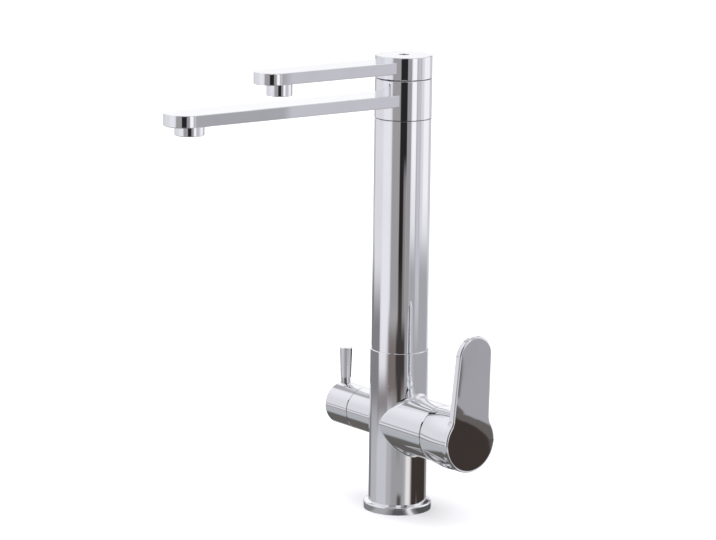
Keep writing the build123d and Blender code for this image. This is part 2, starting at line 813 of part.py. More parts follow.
with BuildPart() as cartridge_base:
    with BuildSketch(across(base_start)):
        Circle(housing_radius)
        with Locations(disc_ports):
            Circle(disc_port_radius, mode=Mode.SUBTRACT)
    extrude(amount=cartridge_base_height)
save(cartridge_base.part, "cartridge_base")

with BuildPart() as cartridge_fixed_disc:
    with BuildSketch(across(fixed_disc_start)):
        Circle(fixed_disc_radius)
        with Locations(disc_ports):
            Circle(disc_port_radius, mode=Mode.SUBTRACT)
    extrude(amount=fixed_disc_height)
save(cartridge_fixed_disc.part, "cartridge_fixed_disc")

with BuildPart() as cartridge_housing:
    with BuildSketch(across(fixed_disc_start)):
        Circle(housing_radius)
    extrude(amount=housing_end - fixed_disc_start)
    with BuildSketch(across(fixed_disc_start)):
        Circle(fixed_disc_radius + slide_fit)
    extrude(amount=fixed_disc_height, mode=Mode.SUBTRACT)
    with BuildSketch(across(fixed_disc_start + fixed_disc_height)):
        Circle(housing_bore)
    extrude(amount=housing_end - housing_lip - fixed_disc_start - fixed_disc_height, mode=Mode.SUBTRACT)
    with BuildSketch(across(housing_end - housing_lip)):
        Circle(housing_mouth_radius)
    extrude(amount=housing_lip, mode=Mode.SUBTRACT)
save(cartridge_housing.part, "cartridge_housing")

with BuildPart() as cartridge_nut:
    with BuildSketch(across(mouth_floor)):
        Circle(mouth_radius - slide_fit)
        Circle(nut_hole_radius, mode=Mode.SUBTRACT)
    extrude(amount=nut_end - mouth_floor)
    with BuildSketch(across(nut_end)):
        with PolarLocations(mouth_radius - nut_notch / 2, 4):
            Rectangle(nut_notch, nut_notch)
    extrude(amount=-nut_notch, mode=Mode.SUBTRACT)
save(cartridge_nut.part, "cartridge_nut")


def on_dome(radius, height):
    """Distance along the barrel where a ball about the pivot has this height."""
    return pivot_x + sqrt(radius ** 2 - height ** 2)


def arc_middle(radius, low, high):
    """Point half way round the same ball between two heights."""
    middle = (low + high) / 2
    return (on_dome(radius, middle), middle)


dome_skirt_radius = mouth_radius - slide_fit
dome_inner_radius = dome_radius - dome_wall
skirt_inner_radius = dome_skirt_radius - dome_wall
with BuildPart() as dome_cover:
    with BuildSketch(barrel_profile_plane):
        with BuildLine():
            ThreePointArc(
                (on_dome(dome_radius, dome_crown), dome_crown),
                arc_middle(dome_radius, dome_crown, dome_skirt_radius),
                (on_dome(dome_radius, dome_skirt_radius), dome_skirt_radius),
            )
            Polyline(
                (on_dome(dome_radius, dome_skirt_radius), dome_skirt_radius),
                (nut_end, dome_skirt_radius),
                (nut_end, skirt_inner_radius),
                (on_dome(dome_inner_radius, skirt_inner_radius), skirt_inner_radius),
            )
            ThreePointArc(
                (on_dome(dome_inner_radius, skirt_inner_radius), skirt_inner_radius),
                arc_middle(dome_inner_radius, dome_crown, skirt_inner_radius),
                (on_dome(dome_inner_radius, dome_crown), dome_crown),
            )
            Line(
                (on_dome(dome_inner_radius, dome_crown), dome_crown),
                (on_dome(dome_radius, dome_crown), dome_crown),
            )
        make_face()
    revolve(axis=barrel_axis)
    # the spindle needs room below the axis and to both sides, little above it
    with BuildSketch(across(nut_end)):
        Circle(dome_opening_radius)
        with Locations((0, -dome_slot_drop)):
            Circle(dome_slot_radius, mode=Mode.INTERSECT)
    extrude(amount=face_x - nut_end, mode=Mode.SUBTRACT)
save(dome_cover.part, "dome_cover")

# ------------------------------------------------ mixer cartridge, moving part
disc_centre = (0, disc_rest_offset)
with BuildPart() as cartridge_moving_disc:
    with BuildSketch(across(moving_disc_start)):
        with Locations(disc_centre):
            Circle(moving_disc_radius)
    extrude(amount=moving_disc_height)
    with BuildSketch(across(moving_disc_start)):
        with Locations((0, disc_rest_offset * 2)):
            RectangleRounded(disc_pocket_width, disc_pocket_length, disc_pocket_corner)
    extrude(amount=disc_pocket_depth, mode=Mode.SUBTRACT)
save(cartridge_moving_disc.part, "cartridge_moving_disc")

with BuildPart() as disc_carrier:
    with BuildSketch(across(carrier_start)):
        with Locations(disc_centre):
            Circle(carrier_radius)
        Rectangle(carrier_pocket * 2, carrier_pocket * 2, mode=Mode.SUBTRACT)
    extrude(amount=carrier_height)
save(disc_carrier.part, "disc_carrier")

with BuildPart() as cartridge_rotor:
    with BuildSketch(across(rotor_start)):
        Circle(housing_bore - run_fit)
        Rectangle(rotor_slot_width, rotor_slot_length, mode=Mode.SUBTRACT)
    extrude(amount=rotor_end - rotor_start)
    with BuildSketch(Plane.XZ.offset(-housing_bore)):
        with Locations((pivot_x, barrel_z)):
            Circle(pin_radius)
    extrude(amount=housing_bore * 2, mode=Mode.SUBTRACT)
save(cartridge_rotor.part, "cartridge_rotor")

with BuildPart() as rotor_pin:
    with BuildSketch(Plane.XZ.offset(-pin_length / 2)):
        with Locations((pivot_x, barrel_z)):
            Circle(pin_radius)
    extrude(amount=pin_length)
save(rotor_pin.part, "rotor_pin")

# ---------------------------------------------------------- spindle and lever
def axis_distance(point):
    """Distance of a point from the barrels' axis."""
    return sqrt(point.Y ** 2 + (point.Z - barrel_z) ** 2)


plug_down = (0, -sin(radians(plug_angle)), -cos(radians(plug_angle)))


def plug_plane(distance):
    """Plane across the plug hole at a distance from the barrel's axis."""
    return Plane(
        origin=(plug_x, plug_down[1] * distance, barrel_z + plug_down[2] * distance),
        x_dir=(1, 0, 0),
        z_dir=plug_down,
    )


flat_distance = spindle_round_radius - spindle_flat_depth
plug_face = hub_mid_radius - edge_break
with BuildPart() as lever_spindle:
    with BuildSketch(across(spindle_root)):
        Rectangle(spindle_width, spindle_width)
    extrude(amount=spindle_round_start - spindle_root)
    chamfer(lever_spindle.edges().filter_by(Axis.X), edge_break)
    with BuildSketch(across(spindle_round_start)):
        Circle(spindle_round_radius)
    extrude(amount=spindle_end - spindle_round_start)
    with BuildSketch(across(ball_x)):
        Circle(spindle_neck_radius)
    extrude(amount=spindle_root - ball_x)
    with Locations((ball_x, 0, barrel_z)):
        Sphere(spindle_ball_radius)
    with BuildSketch(Plane.XZ.offset(-spindle_width)):
        with Locations((pivot_x, barrel_z)):
            Circle(pin_radius + run_fit)
    extrude(amount=spindle_width * 2, mode=Mode.SUBTRACT)
    with BuildSketch(plug_plane(flat_distance)):
        Rectangle(spindle_flat_length, spindle_width * 2)
    extrude(amount=spindle_flat_depth * 2, mode=Mode.SUBTRACT)
save(lever_spindle.part, "lever_spindle")

lean = radians(blade_lean)
bend_rise = bend_length / 2 * lean
paddle_top = blade_tip_centre + blade_tip_radius
outline_margin = 5.0
straight_rise = (paddle_top + outline_margin - bend_length) * sin(lean)
front_low = (face_x, -paddle_radius - outline_margin)
front_bend = (face_x, 0)
front_lean = (face_x + bend_rise, bend_length)
front_high = (face_x + bend_rise + straight_rise, paddle_top + outline_margin)


def behind(point):
    """The same point on the paddle's back."""
    return (point[0] - paddle_thickness, point[1])


back_low = behind(front_low)
back_bend = behind(front_bend)
back_lean = behind(front_lean)
back_high = behind(front_high)

paddle_back = face_x - paddle_thickness
paddle_middle = face_x - paddle_thickness / 2
# outline seen along the barrel: round disc, drawn in neck and tapering blade
with BuildSketch(across(paddle_back - paddle_thickness)) as outline:
    Circle(paddle_radius)
    with BuildLine():
        Polyline(
            (-blade_tip_radius, blade_tip_centre),
            (-blade_root_half_width, blade_root_height),
            (-blade_root_half_width, 0),
            (blade_root_half_width, 0),
            (blade_root_half_width, blade_root_height),
            (blade_tip_radius, blade_tip_centre),
        )
        ThreePointArc(
            (blade_tip_radius, blade_tip_centre), (0, paddle_top), (-blade_tip_radius, blade_tip_centre)
        )
    make_face()

cove_start = paddle_back - hub_blade_blend + bend_rise
cove_end = paddle_back + bend_rise
with BuildPart() as hub_cove:
    with BuildSketch(barrel_profile_plane):
        with BuildLine():
            RadiusArc(
                (cove_start, paddle_radius), (cove_end, paddle_radius + hub_blade_blend), -hub_blade_blend
            )
            Polyline(
                (cove_end, paddle_radius + hub_blade_blend),
                (paddle_middle, paddle_radius + hub_blade_blend),
                (paddle_middle, paddle_radius - edge_break),
                (cove_start, paddle_radius - edge_break),
                (cove_start, paddle_radius),
            )
        make_face()
    revolve(axis=barrel_axis)
    extrude(outline.sketch, amount=paddle_thickness * 2, mode=Mode.INTERSECT)

with BuildPart() as lever:
    extrude(outline.sketch, amount=paddle_thickness * 4)
    # side view: flat in front of the hub, then bent out to the leaning blade
    with BuildSketch(barrel_profile_plane):
        with BuildLine():
            Line(front_low, front_bend)
            TangentArc(front_bend, front_lean, tangent=(0, 1))
            Line(front_lean, front_high)
            Line(front_high, back_high)
            Line(back_high, back_lean)
            TangentArc(back_lean, back_bend, tangent=(-sin(lean), -cos(lean)))
            Line(back_bend, back_low)
            Line(back_low, front_low)
        make_face()
    extrude(amount=paddle_radius * 2, both=True, mode=Mode.INTERSECT)
    necks = lever.edges().filter_by(Axis.X).filter_by(lambda e: abs(e.center().Y) > blade_tip_radius)
    fillet(necks, blade_neck_radius)
    front_faces = lever.faces().filter_by(lambda f: f.normal_at().X > 0.9)
    fillet(rim_of(front_faces), face_edge_radius)
    back_faces = lever.faces().filter_by(lambda f: f.normal_at().X < -0.9)
    fillet(rim_of(back_faces), back_edge_radius)
    # hub: a slightly swollen barrel that carries the paddle
    with BuildSketch(barrel_profile_plane):
        with BuildLine():
            Line((hub_start, 0), (hub_start, mixer_radius - corner_break))
            Line((hub_start, mixer_radius - corner_break), (hub_start + corner_break, mixer_radius))
            ThreePointArc(
                (hub_start + corner_break, mixer_radius),
                (hub_mid_x, hub_mid_radius),
                (paddle_back, paddle_radius),
            )
            Polyline(
                (paddle_back, paddle_radius),
                (paddle_middle, paddle_radius),
                (paddle_middle, 0),
                (hub_start, 0),
            )
        make_face()
    revolve(axis=barrel_axis)
    # cove between the top of the hub and the back of the blade
    add(hub_cove.part)
    # ball shaped hollow that passes over the dome, and the spindle's bore
    with BuildSketch(barrel_profile_plane):
        with BuildLine():
            ThreePointArc(
                (pivot_x, hub_cavity_radius),
                (pivot_x + hub_cavity_radius * cos(radians(45)), hub_cavity_radius * sin(radians(45))),
                (pivot_x + hub_cavity_radius, 0),
            )
            Line((pivot_x + hub_cavity_radius, 0), (pivot_x, 0))
            Line((pivot_x, 0), (pivot_x, hub_cavity_radius))
        make_face()
    revolve(axis=barrel_axis, mode=Mode.SUBTRACT)
    with BuildSketch(across(pivot_x)):
        Circle(spindle_round_radius + run_fit)
    extrude(amount=spindle_end + slide_fit - pivot_x, mode=Mode.SUBTRACT)
    # threaded way of the grub screw and the seat of the plug that hides it
    with BuildSketch(plug_plane(0)):
        Circle(grub_radius + run_fit)
    extrude(amount=plug_face, mode=Mode.SUBTRACT)
    with BuildSketch(plug_plane(plug_face - plug_height)):
        Circle(plug_radius + run_fit)
    extrude(amount=plug_height * 2, mode=Mode.SUBTRACT)
save(lever.part, "lever")

# ---------------------------------------------------------- filter valve, fixed
filter_ports = [(0, -filter_port_drop), (0, filter_outlet_rise)]
filter_seals = []
for port_place in filter_ports:
    with BuildPart() as port_seal:
        with BuildSketch(across(-filter_chamber_floor)):
            with Locations(port_place):
                Circle(filtered_way_radius + port_seal_wall)
                Circle(filtered_way_radius, mode=Mode.SUBTRACT)
        extrude(amount=-filter_seal_height)
    filter_seals.append(port_seal.part)
save(Compound(children=filter_seals), "filter_port_seals")

with BuildPart() as lever_grub_screw:
    with BuildSketch(plug_plane(flat_distance + disc_gap)):
        Circle(grub_radius)
    extrude(amount=plug_face - plug_height - grub_gap - flat_distance)
    with BuildSketch(plug_plane(plug_face - plug_height - grub_gap + disc_gap)):
        RegularPolygon(grub_key / 2, 6, major_radius=False)
    extrude(amount=-grub_key, mode=Mode.SUBTRACT)
save(lever_grub_screw.part, "lever_grub_screw")

with BuildPart() as lever_plug:
    with BuildSketch(plug_plane(plug_face - plug_height)):
        Circle(plug_radius)
    extrude(amount=plug_height)
    chamfer(lever_plug.faces().filter_by(lambda f: axis_distance(f.center()) > plug_face - run_fit).edges(), edge_break)
save(lever_plug.part, "lever_plug")

with BuildPart() as filter_fixed_disc:
    with BuildSketch(across(-filter_disc_start)):
        Circle(filter_disc_radius)
        with Locations(filter_ports):
            Circle(filtered_way_radius, mode=Mode.SUBTRACT)
    extrude(amount=-filter_disc_height)
save(filter_fixed_disc.part, "filter_fixed_disc")

with BuildPart() as filter_valve_body:
    with BuildSketch(across(-filter_disc_start)):
        Circle(filter_chamber_radius - slide_fit)
    extrude(amount=-(valve_body_end - filter_disc_start))
    with BuildSketch(across(-valve_body_end)):
        Circle(valve_neck_radius)
    extrude(amount=-(valve_neck_end - valve_body_end))
    with BuildSketch(across(-filter_disc_start)):
        Circle(filter_disc_radius + slide_fit)
    extrude(amount=-valve_cavity_depth, mode=Mode.SUBTRACT)
    with BuildSketch(across(-filter_disc_start)):
        Circle(filter_shaft_radius + run_fit)
    extrude(amount=-(valve_neck_end - filter_disc_start), mode=Mode.SUBTRACT)
    chamfer(filter_valve_body.faces().sort_by(Axis.X)[0].edges().sort_by(SortBy.RADIUS)[-1], edge_break)
save(filter_valve_body.part, "filter_valve_body")

filter_glide_ring = ring(
    across(-filter_seam - (seam_gap - glide_thickness) / 2 - glide_thickness),
    glide_ring_radius,
    filter_chamber_radius + part_gap,
    glide_thickness,
)
save(filter_glide_ring, "filter_glide_ring")

# --------------------------------------------------------- filter valve, moving
with BuildPart() as filter_moving_disc:
    with BuildSketch(across(-filter_moving_start)):
        Circle(filter_disc_radius - slide_fit)
    extrude(amount=-filter_disc_height)
    # passage that joins the two ports after a quarter turn
    with BuildSketch(across(-filter_moving_start)):
        SlotOverall(filter_port_drop + filter_outlet_rise + filtered_way_radius * 2, filtered_way_radius * 2)
    extrude(amount=-filter_slot_depth, mode=Mode.SUBTRACT)
    # slot for the spindle's key
    with BuildSketch(across(-filter_drive_start)):
        Rectangle(filter_disc_radius * 2, filter_key_width + slide_fit)
    extrude(amount=filter_key_height, mode=Mode.SUBTRACT)
save(filter_moving_disc.part, "filter_moving_disc")

seal_groove_floor = filter_shaft_radius + run_fit - filter_oring
with BuildPart() as filter_spindle:
    with BuildSketch(across(-filter_drive_start)):
        Circle(filter_flange_radius)
    extrude(amount=-filter_drive_height)
    with BuildSketch(across(-filter_drive_start)):
        Rectangle(filter_key_length, filter_key_width)
    extrude(amount=filter_key_height - slide_fit)
    with BuildSketch(across(-filter_drive_start)):
        Circle(filter_shaft_radius)
    extrude(amount=-(filter_shaft_end - filter_drive_start))
    with BuildSketch(across(-filter_oring_x)):
        Circle(filter_shaft_radius)
        Circle(seal_groove_floor, mode=Mode.SUBTRACT)
    extrude(amount=filter_oring * gland_ratio / 2, both=True, mode=Mode.SUBTRACT)
    chamfer(filter_spindle.faces().sort_by(Axis.X)[0].edges(), edge_break)
save(filter_spindle.part, "filter_spindle")

filter_spindle_seal = oring(across(-filter_oring_x), seal_groove_floor + filter_oring / 2, filter_oring)
save(filter_spindle_seal, "filter_spindle_seal")

cap_start = filter_seam + seam_gap
with BuildPart() as filter_cap:
    with BuildSketch(across(-cap_start)):
        Circle(filter_radius)
    extrude(amount=-(filter_end - cap_start))
    fillet(filter_cap.faces().sort_by(Axis.X)[0].edges(), filter_end_radius)
    chamfer(filter_cap.faces().sort_by(Axis.X)[-1].edges(), edge_break)
    with BuildSketch(across(-cap_start)):
        Circle(cap_hollow_radius)
    extrude(amount=-(cap_hollow_end - cap_start), mode=Mode.SUBTRACT)
    with BuildSketch(across(-cap_start)):
        Circle(filter_shaft_radius + run_fit)
    extrude(amount=-(filter_shaft_end + slide_fit - cap_start), mode=Mode.SUBTRACT)
    # flat seat and threaded hole for the pin lever on top
    with BuildSketch(pin_plane(pin_seat_z)):
        Circle(pin_foot_radius + edge_break)
    extrude(amount=filter_radius, mode=Mode.SUBTRACT)
    with BuildSketch(pin_plane(pin_seat_z)):
        Circle(pin_stud_radius + run_fit)
    extrude(amount=-pin_stud_depth - slide_fit, mode=Mode.SUBTRACT)
    # grub screw hole from below
    with BuildSketch(under_plane(0)):
        Circle(filter_grub_radius + run_fit)
    extrude(amount=filter_radius, mode=Mode.SUBTRACT)
save(filter_cap.part, "filter_cap")

with BuildPart() as filter_grub_screw:
    with BuildSketch(under_plane(filter_shaft_radius + disc_gap)):
        Circle(filter_grub_radius)
    extrude(amount=filter_grub_length)
    with BuildSketch(under_plane(filter_shaft_radius + disc_gap + filter_grub_length)):
        RegularPolygon(grub_key / 2, 6, major_radius=False)
    extrude(amount=-grub_key, mode=Mode.SUBTRACT)
save(filter_grub_screw.part, "filter_grub_screw")

with BuildPart() as filter_pin_lever:
    with BuildSketch(pin_side_plane):
        with BuildLine():
            Polyline(
                (0, pin_seat_z - pin_stud_depth),
                (pin_stud_radius, pin_seat_z - pin_stud_depth),
                (pin_stud_radius, pin_seat_z),
                (pin_neck_radius, pin_seat_z),
                (pin_neck_radius, pin_neck_top),
                (pin_foot_radius, pin_neck_top),
                (pin_tip_radius, pin_top),
                (0, pin_top),
                (0, pin_seat_z - pin_stud_depth),
            )
        make_face()
    revolve(axis=Axis((-pin_lever_x, 0, barrel_z), (0, 0, 1)))
    fillet(filter_pin_lever.faces().sort_by(Axis.Z)[-1].edges(), pin_edge_radius)
    chamfer(filter_pin_lever.faces().sort_by(Axis.Z)[0].edges(), edge_break)
save(filter_pin_lever.part, "filter_pin_lever")
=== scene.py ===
# %% [markdown]
# # A three way filtered water tap, in polished chrome
# The tap is almost nothing but mirror. A mirror has no look of its own, so most
# of this lesson is about two things: what the chrome sees, and how perfect the
# plating is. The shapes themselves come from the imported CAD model, which is
# loaded first and never moved.

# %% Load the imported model
import json
import math

import bpy
import numpy as np
from mathutils import Matrix, Vector

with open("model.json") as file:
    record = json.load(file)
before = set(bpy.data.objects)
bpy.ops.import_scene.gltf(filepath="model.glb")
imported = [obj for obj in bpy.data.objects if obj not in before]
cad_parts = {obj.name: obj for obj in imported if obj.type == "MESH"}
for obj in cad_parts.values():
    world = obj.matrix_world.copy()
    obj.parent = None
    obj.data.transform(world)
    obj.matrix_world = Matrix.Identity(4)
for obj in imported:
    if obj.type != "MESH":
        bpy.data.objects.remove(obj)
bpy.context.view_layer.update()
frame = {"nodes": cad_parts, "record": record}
scene = bpy.context.scene
nodes = frame["nodes"]
print("pieces loaded:", len(nodes))

# %% [markdown]
# ## The camera
# A product photographer stands well back with a long lens, so that upright
# lines stay nearly parallel. The camera is set by its place and by two
# directions of its picture, right and up, because those can be measured from
# the edges and round faces of the object more surely than a set of turning
# angles. The third direction, back, stands square on both.

# %% Camera
camera_place = Vector((2.14449, -1.67559, 0.73413))
camera_right = Vector((0.60381, 0.79703, 0.01251))
camera_up = Vector((-0.16271, 0.10788, 0.98076))
camera_back = camera_right.cross(camera_up)
camera_lens = 175.95
sensor_width = 36.0
nearest_seen = 0.05
farthest_seen = 60.0

camera_data = bpy.data.cameras.new("long lens")
camera_data.sensor_width = sensor_width
camera_data.lens = camera_lens
camera_data.clip_start = nearest_seen
camera_data.clip_end = farthest_seen
camera = bpy.data.objects.new("camera", camera_data)
turned = Matrix((camera_right, camera_up, camera_back)).transposed()
camera.rotation_mode = "QUATERNION"
camera.rotation_quaternion = turned.to_quaternion()
camera.location = camera_place
scene.collection.objects.link(camera)
scene.camera = camera
print("camera stands", round(camera_place.length, 2), "m from the tap")

# %% [markdown]
# ## Sums on shader sockets
# A material is a small program drawn as nodes. Wiring it by hand hides the
# sums, so a socket is wrapped in a class whose +, - and * add the nodes. Then
# 0.008 + 0.012 * wiping reads as it would on paper.

# %% A socket that can be calculated with


class Wire:
    """One output of a node tree that takes part in sums of plain values."""

    def __init__(self, tree, socket=None):
        self.tree = tree
        self.socket = socket

    def node(self, kind, settings=None, inputs=None, output=0):
        """Add any node: its type, then its settings, then its sockets' values or links."""
        made = self.tree.nodes.new(kind)
        for name, value in (settings or {}).items():
            setattr(made, name, value)
        for name, value in (inputs or {}).items():
            if isinstance(value, Wire):
                self.tree.links.new(value.socket, made.inputs[name])
            else:
                made.inputs[name].default_value = value
        return Wire(self.tree, made.outputs[output] if len(made.outputs) else None)

    def parts(self):
        """The X, Y and Z of a vector as three wires."""
        split = self.node("ShaderNodeSeparateXYZ", None, {0: self}).socket.node
        return [Wire(self.tree, socket) for socket in split.outputs]

    def sum_of(self, operation, *values):
        """One Math node on plain values."""
        inputs = dict(enumerate(values))
        return self.node("ShaderNodeMath", {"operation": operation}, inputs)

    def __add__(self, other):
        return self.sum_of("ADD", self, other)

    def __radd__(self, other):
        return self.sum_of("ADD", other, self)

    def __sub__(self, other):
        return self.sum_of("SUBTRACT", self, other)

    def __mul__(self, other):
        return self.sum_of("MULTIPLY", self, other)

    def __rmul__(self, other):
        return self.sum_of("MULTIPLY", other, self)

    def rise(self, start, end):
        """0 below start, 1 above end, and an even S between; start may be above end."""
        inputs = {"Value": self, "From Min": start, "From Max": end}
        return self.node("ShaderNodeMapRange", {"interpolation_type": "SMOOTHSTEP"}, inputs)

    def within(self, half, blur):
        """1 where the value is nearer to 0 than half, 0 past it, and soft by the blur."""
        return self.sum_of("ABSOLUTE", self).rise(half + blur, half - blur)

    def mixed(self, colour_a, colour_b):
        """This mask's mix of two colours: colour a where it is 0 and b where it is 1."""
        inputs = {0: self, 6: colour_a, 7: colour_b}
        return self.node("ShaderNodeMix", {"data_type": "RGBA"}, inputs, output=2)


# %% [markdown]
# ## What the chrome sees
# The photograph's studio is a white tent with a few darker things in it: the
# opening for the camera, a grey wall, the far edge of the table and the floor
# beyond. Each shows in the tap as a band. They could be hung round the tap as
# lit cards, but cards would stand in the way when the tap is seen from the
# side. A world that answers by direction does the same and blocks nothing.
# A direction is given as a bearing, in degrees from +X towards +Y, and a height
# above the horizon. The panels are laid over each other like sheets of paper.

# %% Screen brightness to light
chrome_mirror = 0.92


def light(red, green, blue):
    """A screen colour from 0 to 255 as the light that chrome must be shown to give it.

    A screen's numbers follow the standard curve: a straight foot below 0.04045,
    and above it the light is ((v + 0.055) / 1.055) to the power of 2.4. The
    chrome gives back 0.92 of what it sees, so the light is divided by that.
    """
    plain = [v / 255.0 for v in (red, green, blue)]
    opened = [v / 12.92 if v <= 0.04045 else ((v + 0.055) / 1.055) ** 2.4 for v in plain]
    return tuple(v / chrome_mirror for v in opened) + (1.0,)


# %% The studio's panels, from the back sheet to the front one
back_sheet = (217, 216, 222)

# name, bearing from, to, height from, to, soft edge of bearing, of height, colour
studio_panels = [
    # the table and the floor beyond it
    ("table near the tap", -180, 180, -90, -13.8, 0, 0.3, (172, 172, 176)),
    ("table far down", -180, 180, -90, -18, 0, 2, (172, 175, 179)),
    ("dark floor", -180, 180, -90, -31, 0, 3, (98, 95, 94)),
    ("light floor", 20, 110, -70, -20, 6, 2, (203, 203, 205)),
    ("light floor behind", 138, 160, -28, -14, 4, 2, (222, 222, 220)),
    ("table at the left", -172, -86, -18, -13.7, 4, 0.4, (195, 195, 201)),
    ("table far left", -190, -132, -18, -13.9, 7, 0.3, (178, 177, 183)),
    ("table in front", -66, -15, -18, -13.4, 8, 0.4, (154, 153, 156)),
    ("low lamp", -7, 11, -22, -13.8, 5, 0.4, (228, 223, 221)),
    ("stand by the table", -41, -25, -16.5, -14.92, 6, 0.06, (84, 80, 79)),
    ("table at the right", 14, 98, -22, -15, 3, 0.3, (186, 186, 189)),
    ("far table", 97, 119, -18, -13.6, 1, 0.4, (143, 140, 139)),
    ("far white corner", 118, 150, -18, -12.5, 2, 1, (224, 223, 225)),
    ("dark corner behind", 151, 187, -18, -11, 3, 0.8, (124, 123, 125)),
    # the shade that lies along the far edge of the table
    ("shade at the left", -186, -127, -13.7, -11.6, 4, 0.6, (128, 127, 131)),
    ("shade in front", -94, -15, -13.5, -12.0, 8, 0.4, (116, 108, 105)),
    ("shade at the right", -3, 105, -13.8, -10.9, 4, 0.5, (163, 163, 168)),
    # the walls of the tent behind and at the left
    ("wall behind", 150, 182, -10.6, 4, 4, 1, (184, 183, 187)),
    ("foot of the left wall", -182, -122, -7.4, -4.0, 4, 0.5, (172, 171, 177)),
    ("top of the tent", -180, 180, 24, 90, 0, 14, (234, 233, 239)),
    ("white side", -122, -86, -12.9, 80, 8, 1.0, (229, 228, 235)),
    ("foot of the white side", -132, -86, -13.7, -13.05, 3, 0.3, (136, 132, 134)),
    # the opening for the camera, between two grey walls
    ("grey wall", -81, -44, -12.2, 60, 4, 0.5, (155, 153, 155)),
    ("grey strip", -20, -3, -13.6, 60, 2.5, 0.5, (150, 149, 152)),
    ("beside the camera", -46, -19.5, -12.4, -9.5, 4, 0.6, (138, 134, 134)),
    ("dark by the camera", -47, -31, -13.9, -9, 4, 0.7, (62, 57, 57)),
    ("camera side", -47.5, -19.8, -9.7, 30, 2, 0.4, (38, 37, 39)),
    ("below the camera side", -47.5, -33, -11.4, -9.4, 2, 0.5, (36, 34, 36)),
    ("under the camera", -53, -18, -13.1, -12.2, 4, 0.3, (62, 57, 57)),
    # the lamp and the sheets at the right
    ("lamp", -0.5, 18.2, -10.1, 60, 5, 1.2, (246, 245, 248)),
    ("edge of the lamp", 18.4, 24, -11.4, 60, 0.6, 0.6, (176, 175, 181)),
    ("right wall", 24, 45, -12.2, 70, 1.0, 0.6, (192, 191, 198)),
    ("gap in the wall", 32.8, 36.1, -10.8, 0, 0.1, 0.6, (165, 164, 170)),
    ("right sheet", 45, 56, -10.45, 70, 3, 0.5, (213, 212, 217)),
    ("bright sheet", 55, 93, -10.45, 70, 5, 0.6, (240, 239, 243)),
    ("far sheet", 93, 122, -11, 50, 4, 1.0, (201, 200, 205)),
    # what the upper sides of the spouts, the barrels and the flange see
    ("window", 137, 168, 6, 36, 3, 3, (249, 249, 250)),
    ("head of the back wall", 157, 186, 35.5, 43, 5, 2, (170, 168, 172)),
    ("dark door behind", 119, 132, 8, 40, 2, 3, (76, 71, 70)),
    ("dark beam behind", 134, 151, 47, 58, 3, 2, (95, 92, 94)),
    ("roof over the tap", -180, 180, 60, 90, 0, 7, (192, 191, 196)),
    # the dark room past the table
    ("dark room", 16, 97, -15.3, -13.9, 5, 0.2, (59, 52, 49)),
    ("dark room's end", 33, 42, -20.5, -13.4, 1, 0.3, (59, 52, 49)),
]

# The strip where the table ends leans over. The bearing of a leaning panel is
# the one at the horizon, and it slides by the first number, in degrees for
# every degree of height.
leaning_panels = [
    (0.175, ("table's edge", 37.09, 39.5, -30, -13.9, 0.03, 0.3, (98, 94, 92))),
    (0.175, ("table past the edge", 37.32, 44.0, -30, -15.2, 0.03, 0.4, (160, 158, 164))),
    (0.0, ("end of the edge", 40.80, 44.0, -20.38, -19.3, 0.03, 0.04, (160, 158, 164))),
    (1.33, ("corner of the edge", 13.57, 16.6, -20.9, -20.34, 0.03, 0.04, (160, 158, 164))),
]

# %% Lay the panels
world = bpy.data.worlds.new("white tent")
scene.world = world
world.use_nodes = True
world.node_tree.nodes.clear()
tent = Wire(world.node_tree)

east, north, upward = tent.node("ShaderNodeTexCoord", output=0).parts()
bearing = tent.sum_of("ARCTAN2", north, east) * math.degrees(1.0)
height = tent.sum_of("ARCSINE", upward) * math.degrees(1.0)
half_turn = 180.0


def panel_mask(seen, low, high, bottom, top, side_blur, edge_blur):
    """1 on a panel and 0 off it, by the height and by the turn from the panel's middle.

    The turn is the bearing less the middle, wrapped to lie between -180 and
    180, so that a panel may lie across the bearing where the numbers jump.
    """
    up = height.rise(bottom - edge_blur, bottom + edge_blur)
    down = height.rise(top + edge_blur, top - edge_blur)
    if high - low >= 2.0 * half_turn:
        return up * down
    turn = tent.sum_of("WRAP", seen - (low + high) / 2.0, half_turn, -half_turn)
    return up * down * turn.within((high - low) / 2.0, side_blur)


sky = light(*back_sheet)
upright_panels = [(0.0, panel) for panel in studio_panels]
for lean, panel in upright_panels + leaning_panels:
    *place_and_blur, colour = panel[1:]
    seen = bearing + lean * height if lean else bearing
    sky = panel_mask(seen, *place_and_blur).mixed(sky, light(*colour))

# the camera itself sees plain white paper past the edge of the floor
white_paper = (1.0, 1.0, 1.0, 1.0)
seen_straight = tent.node("ShaderNodeLightPath", output=0)
sky = seen_straight.mixed(sky, white_paper)
glow = tent.node("ShaderNodeBackground", None, {"Color": sky, "Strength": 1.0})
tent.node("ShaderNodeOutputWorld", None, {"Surface": glow})
print("studio panels:", len(studio_panels) + len(leaning_panels))
print("world nodes:", len(world.node_tree.nodes))

# %% [markdown]
# ## Floor and lamp
# The table top is a plain pale sheet. It is hidden from the chrome, which sees
# the studio's panels there. A wide, soft sun lifts the sheet to white, as the
# tent's lamps do, and is hidden from the chrome too.

# %% Floor and lamp
floor_reach = 14.0
lamp_strength = 2.9
lamp_spread = math.radians(80.0)
lamp_turn = (math.radians(12.0), math.radians(18.0), 0.0)

corners = [(-1, -1), (1, -1), (1, 1), (-1, 1)]
floor_points = [(x * floor_reach, y * floor_reach, 0.0) for x, y in corners]
floor_mesh = bpy.data.meshes.new("floor")
floor_mesh.from_pydata(floor_points, [], [(0, 1, 2, 3)])
floor = bpy.data.objects.new("floor", floor_mesh)
scene.collection.objects.link(floor)
floor.visible_glossy = False

